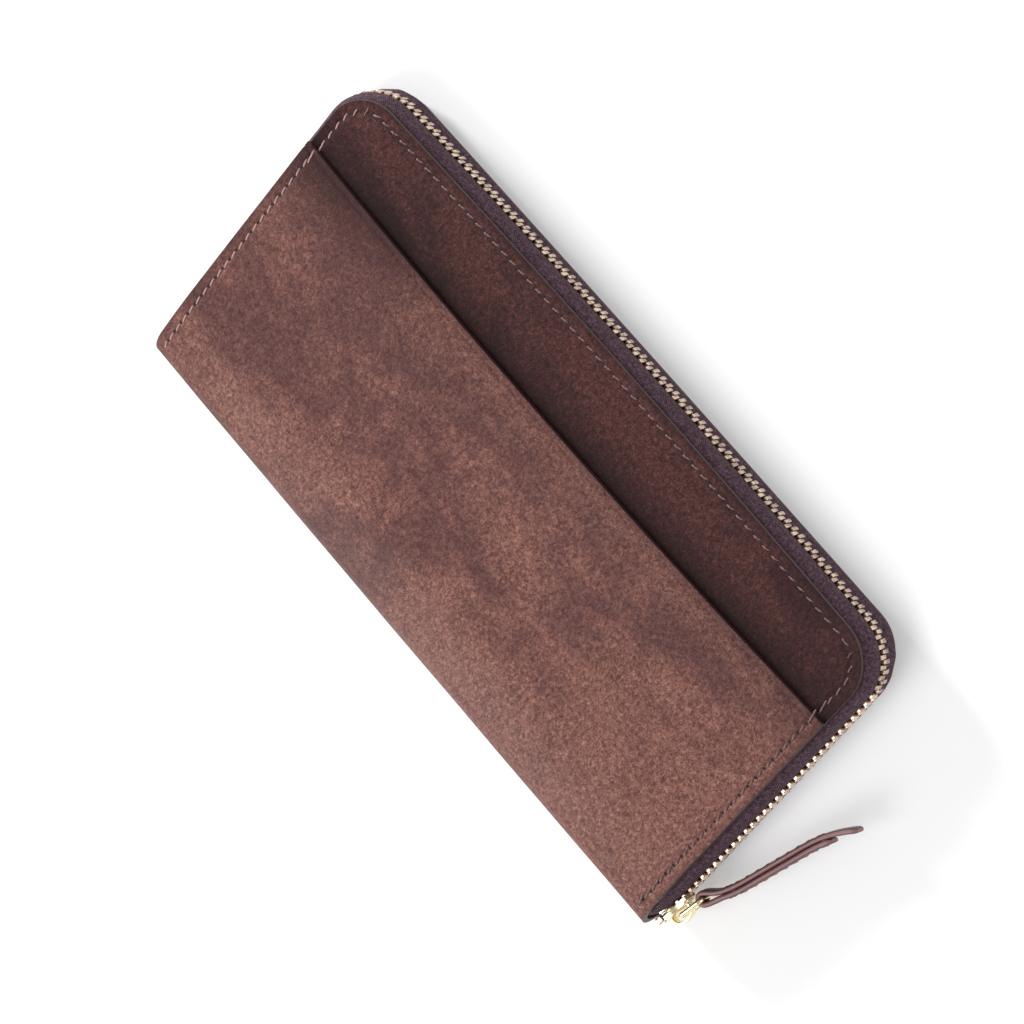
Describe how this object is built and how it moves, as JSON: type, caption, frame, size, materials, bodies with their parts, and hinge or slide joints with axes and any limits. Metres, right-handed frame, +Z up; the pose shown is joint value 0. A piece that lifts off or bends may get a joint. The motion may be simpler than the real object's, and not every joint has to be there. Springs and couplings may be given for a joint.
{
  "type": "long wallet",
  "caption": "Long leather wallet closed by a zip round three sides, with an outside pocket, stepped card tiers, a zipped coin leaf and a strap on the slider.",
  "frame": {"origin": "centre of the back cover's flat outer face, which the wallet lies on", "axes": "+X along the spine, +Y from the spine to the long zip edge, +Z up through the front cover"},
  "size_m": [0.2206, 0.1, 0.018],
  "materials": {
    "outer_hide": "matte",
    "panel_hide": "matte",
    "stiffener_board": "matte",
    "lining_leather": "matte",
    "card_leather": "matte",
    "gusset_leather": "matte",
    "zip_tape": "matte",
    "teeth_brass": "antique",
    "slider_brass": "polished",
    "strap_leather": "satin"
  },
  "bodies": {
    "back_cover": {"back_panel": "outer_hide", "spine_leather_rear": "outer_hide", "back_stiffener": "stiffener_board", "back_lining": "lining_leather", "spine_lining_rear": "lining_leather", "zip_tape_rear": "zip_tape", "zip_tail_rear": "zip_tape", "zip_tail_front": "zip_tape", "zip_teeth_rear_top": "teeth_brass", "zip_teeth_rear_sides": "teeth_brass", "zip_top_stop_rear": "teeth_brass", "zip_top_stop_front": "teeth_brass", "zip_bottom_stop": "teeth_brass", "back_card_tier_1": "card_leather", "back_card_tier_2": "card_leather", "back_card_tier_3": "card_leather", "back_card_tier_4": "card_leather", "gusset_rear_left": "gusset_leather", "gusset_rear_right": "gusset_leather"},
    "front_cover": {"front_panel": "panel_hide", "outside_pocket": "outer_hide", "spine_leather_front": "outer_hide", "front_stiffener": "stiffener_board", "front_lining": "lining_leather", "spine_lining_front": "lining_leather", "zip_tape_front": "zip_tape", "zip_teeth_front_top": "teeth_brass", "zip_teeth_front_sides": "teeth_brass", "front_card_tier_1": "card_leather", "front_card_tier_2": "card_leather", "front_card_tier_3": "card_leather", "front_card_tier_4": "card_leather", "gusset_front_left": "gusset_leather", "gusset_front_right": "gusset_leather"},
    "coin_leaf": {"coin_wall_rear": "card_leather", "coin_wall_front": "card_leather", "coin_bottom_strip": "gusset_leather", "coin_side_strip_left": "gusset_leather", "coin_side_strip_right": "gusset_leather", "coin_tape_rear": "zip_tape", "coin_tape_front": "zip_tape", "coin_teeth_rear": "teeth_brass", "coin_teeth_front": "teeth_brass", "coin_stop_left": "teeth_brass", "coin_stop_right": "teeth_brass"},
    "zip_slider_body": {"zip_slider": "slider_brass"},
    "ring_body": {"pull_ring": "slider_brass"},
    "strap_body": {"pull_strap": "strap_leather"},
    "coin_slider_body": {"coin_slider": "slider_brass"},
    "coin_tab_body": {"coin_pull_tab": "slider_brass"}
  },
  "joints": [
    {"name": "cover_hinge", "type": "hinge", "parent": "back_cover", "child": "front_cover", "pos_m": [0, -0.0395, 0.0083], "axis": [1, 0, 0], "range_deg": [0, 70], "deforming": ["spine_leather_rear", "spine_leather_front", "spine_lining_rear", "spine_lining_front", "gusset_rear_left", "gusset_rear_right", "gusset_front_left", "gusset_front_right", "zip_tail_front", "zip_tail_rear"]},
    {"name": "leaf_hinge", "type": "hinge", "parent": "back_cover", "child": "coin_leaf", "pos_m": [0, -0.0395, 0.0083], "axis": [1, 0, 0], "range_deg": [0, 35]},
    {"name": "zip_slide", "type": "slide", "parent": "back_cover", "child": "zip_slider_body", "axis": [0, 1, 0], "range_m": [0, 0.07], "deforming": ["zip_teeth_rear_sides", "zip_teeth_front_sides"]},
    {"name": "ring_swing", "type": "hinge", "parent": "zip_slider_body", "child": "ring_body", "pos_m": [0.1027, -0.0396, 0.0083], "axis": [0, 0, 1], "range_deg": [-120, 3]},
    {"name": "strap_swing", "type": "hinge", "parent": "ring_body", "child": "strap_body", "pos_m": [0.10376, -0.03207, 0.0083], "axis": [0, 0, 1], "range_deg": [-35, 14]},
    {"name": "coin_slide", "type": "slide", "parent": "coin_leaf", "child": "coin_slider_body", "axis": [-1, 0, 0], "range_m": [0, 0.143], "deforming": ["coin_teeth_rear", "coin_teeth_front"]},
    {"name": "coin_tab_swing", "type": "hinge", "parent": "coin_slider_body", "child": "coin_tab_body", "pos_m": [0.0739, 0.03553, 0.0083], "axis": [0, 0, 1], "range_deg": [-150, 0]}
  ],
  "couplings": [
    {"joint": "leaf_hinge", "follows": "cover_hinge", "ratio": 0.5}
  ]
}
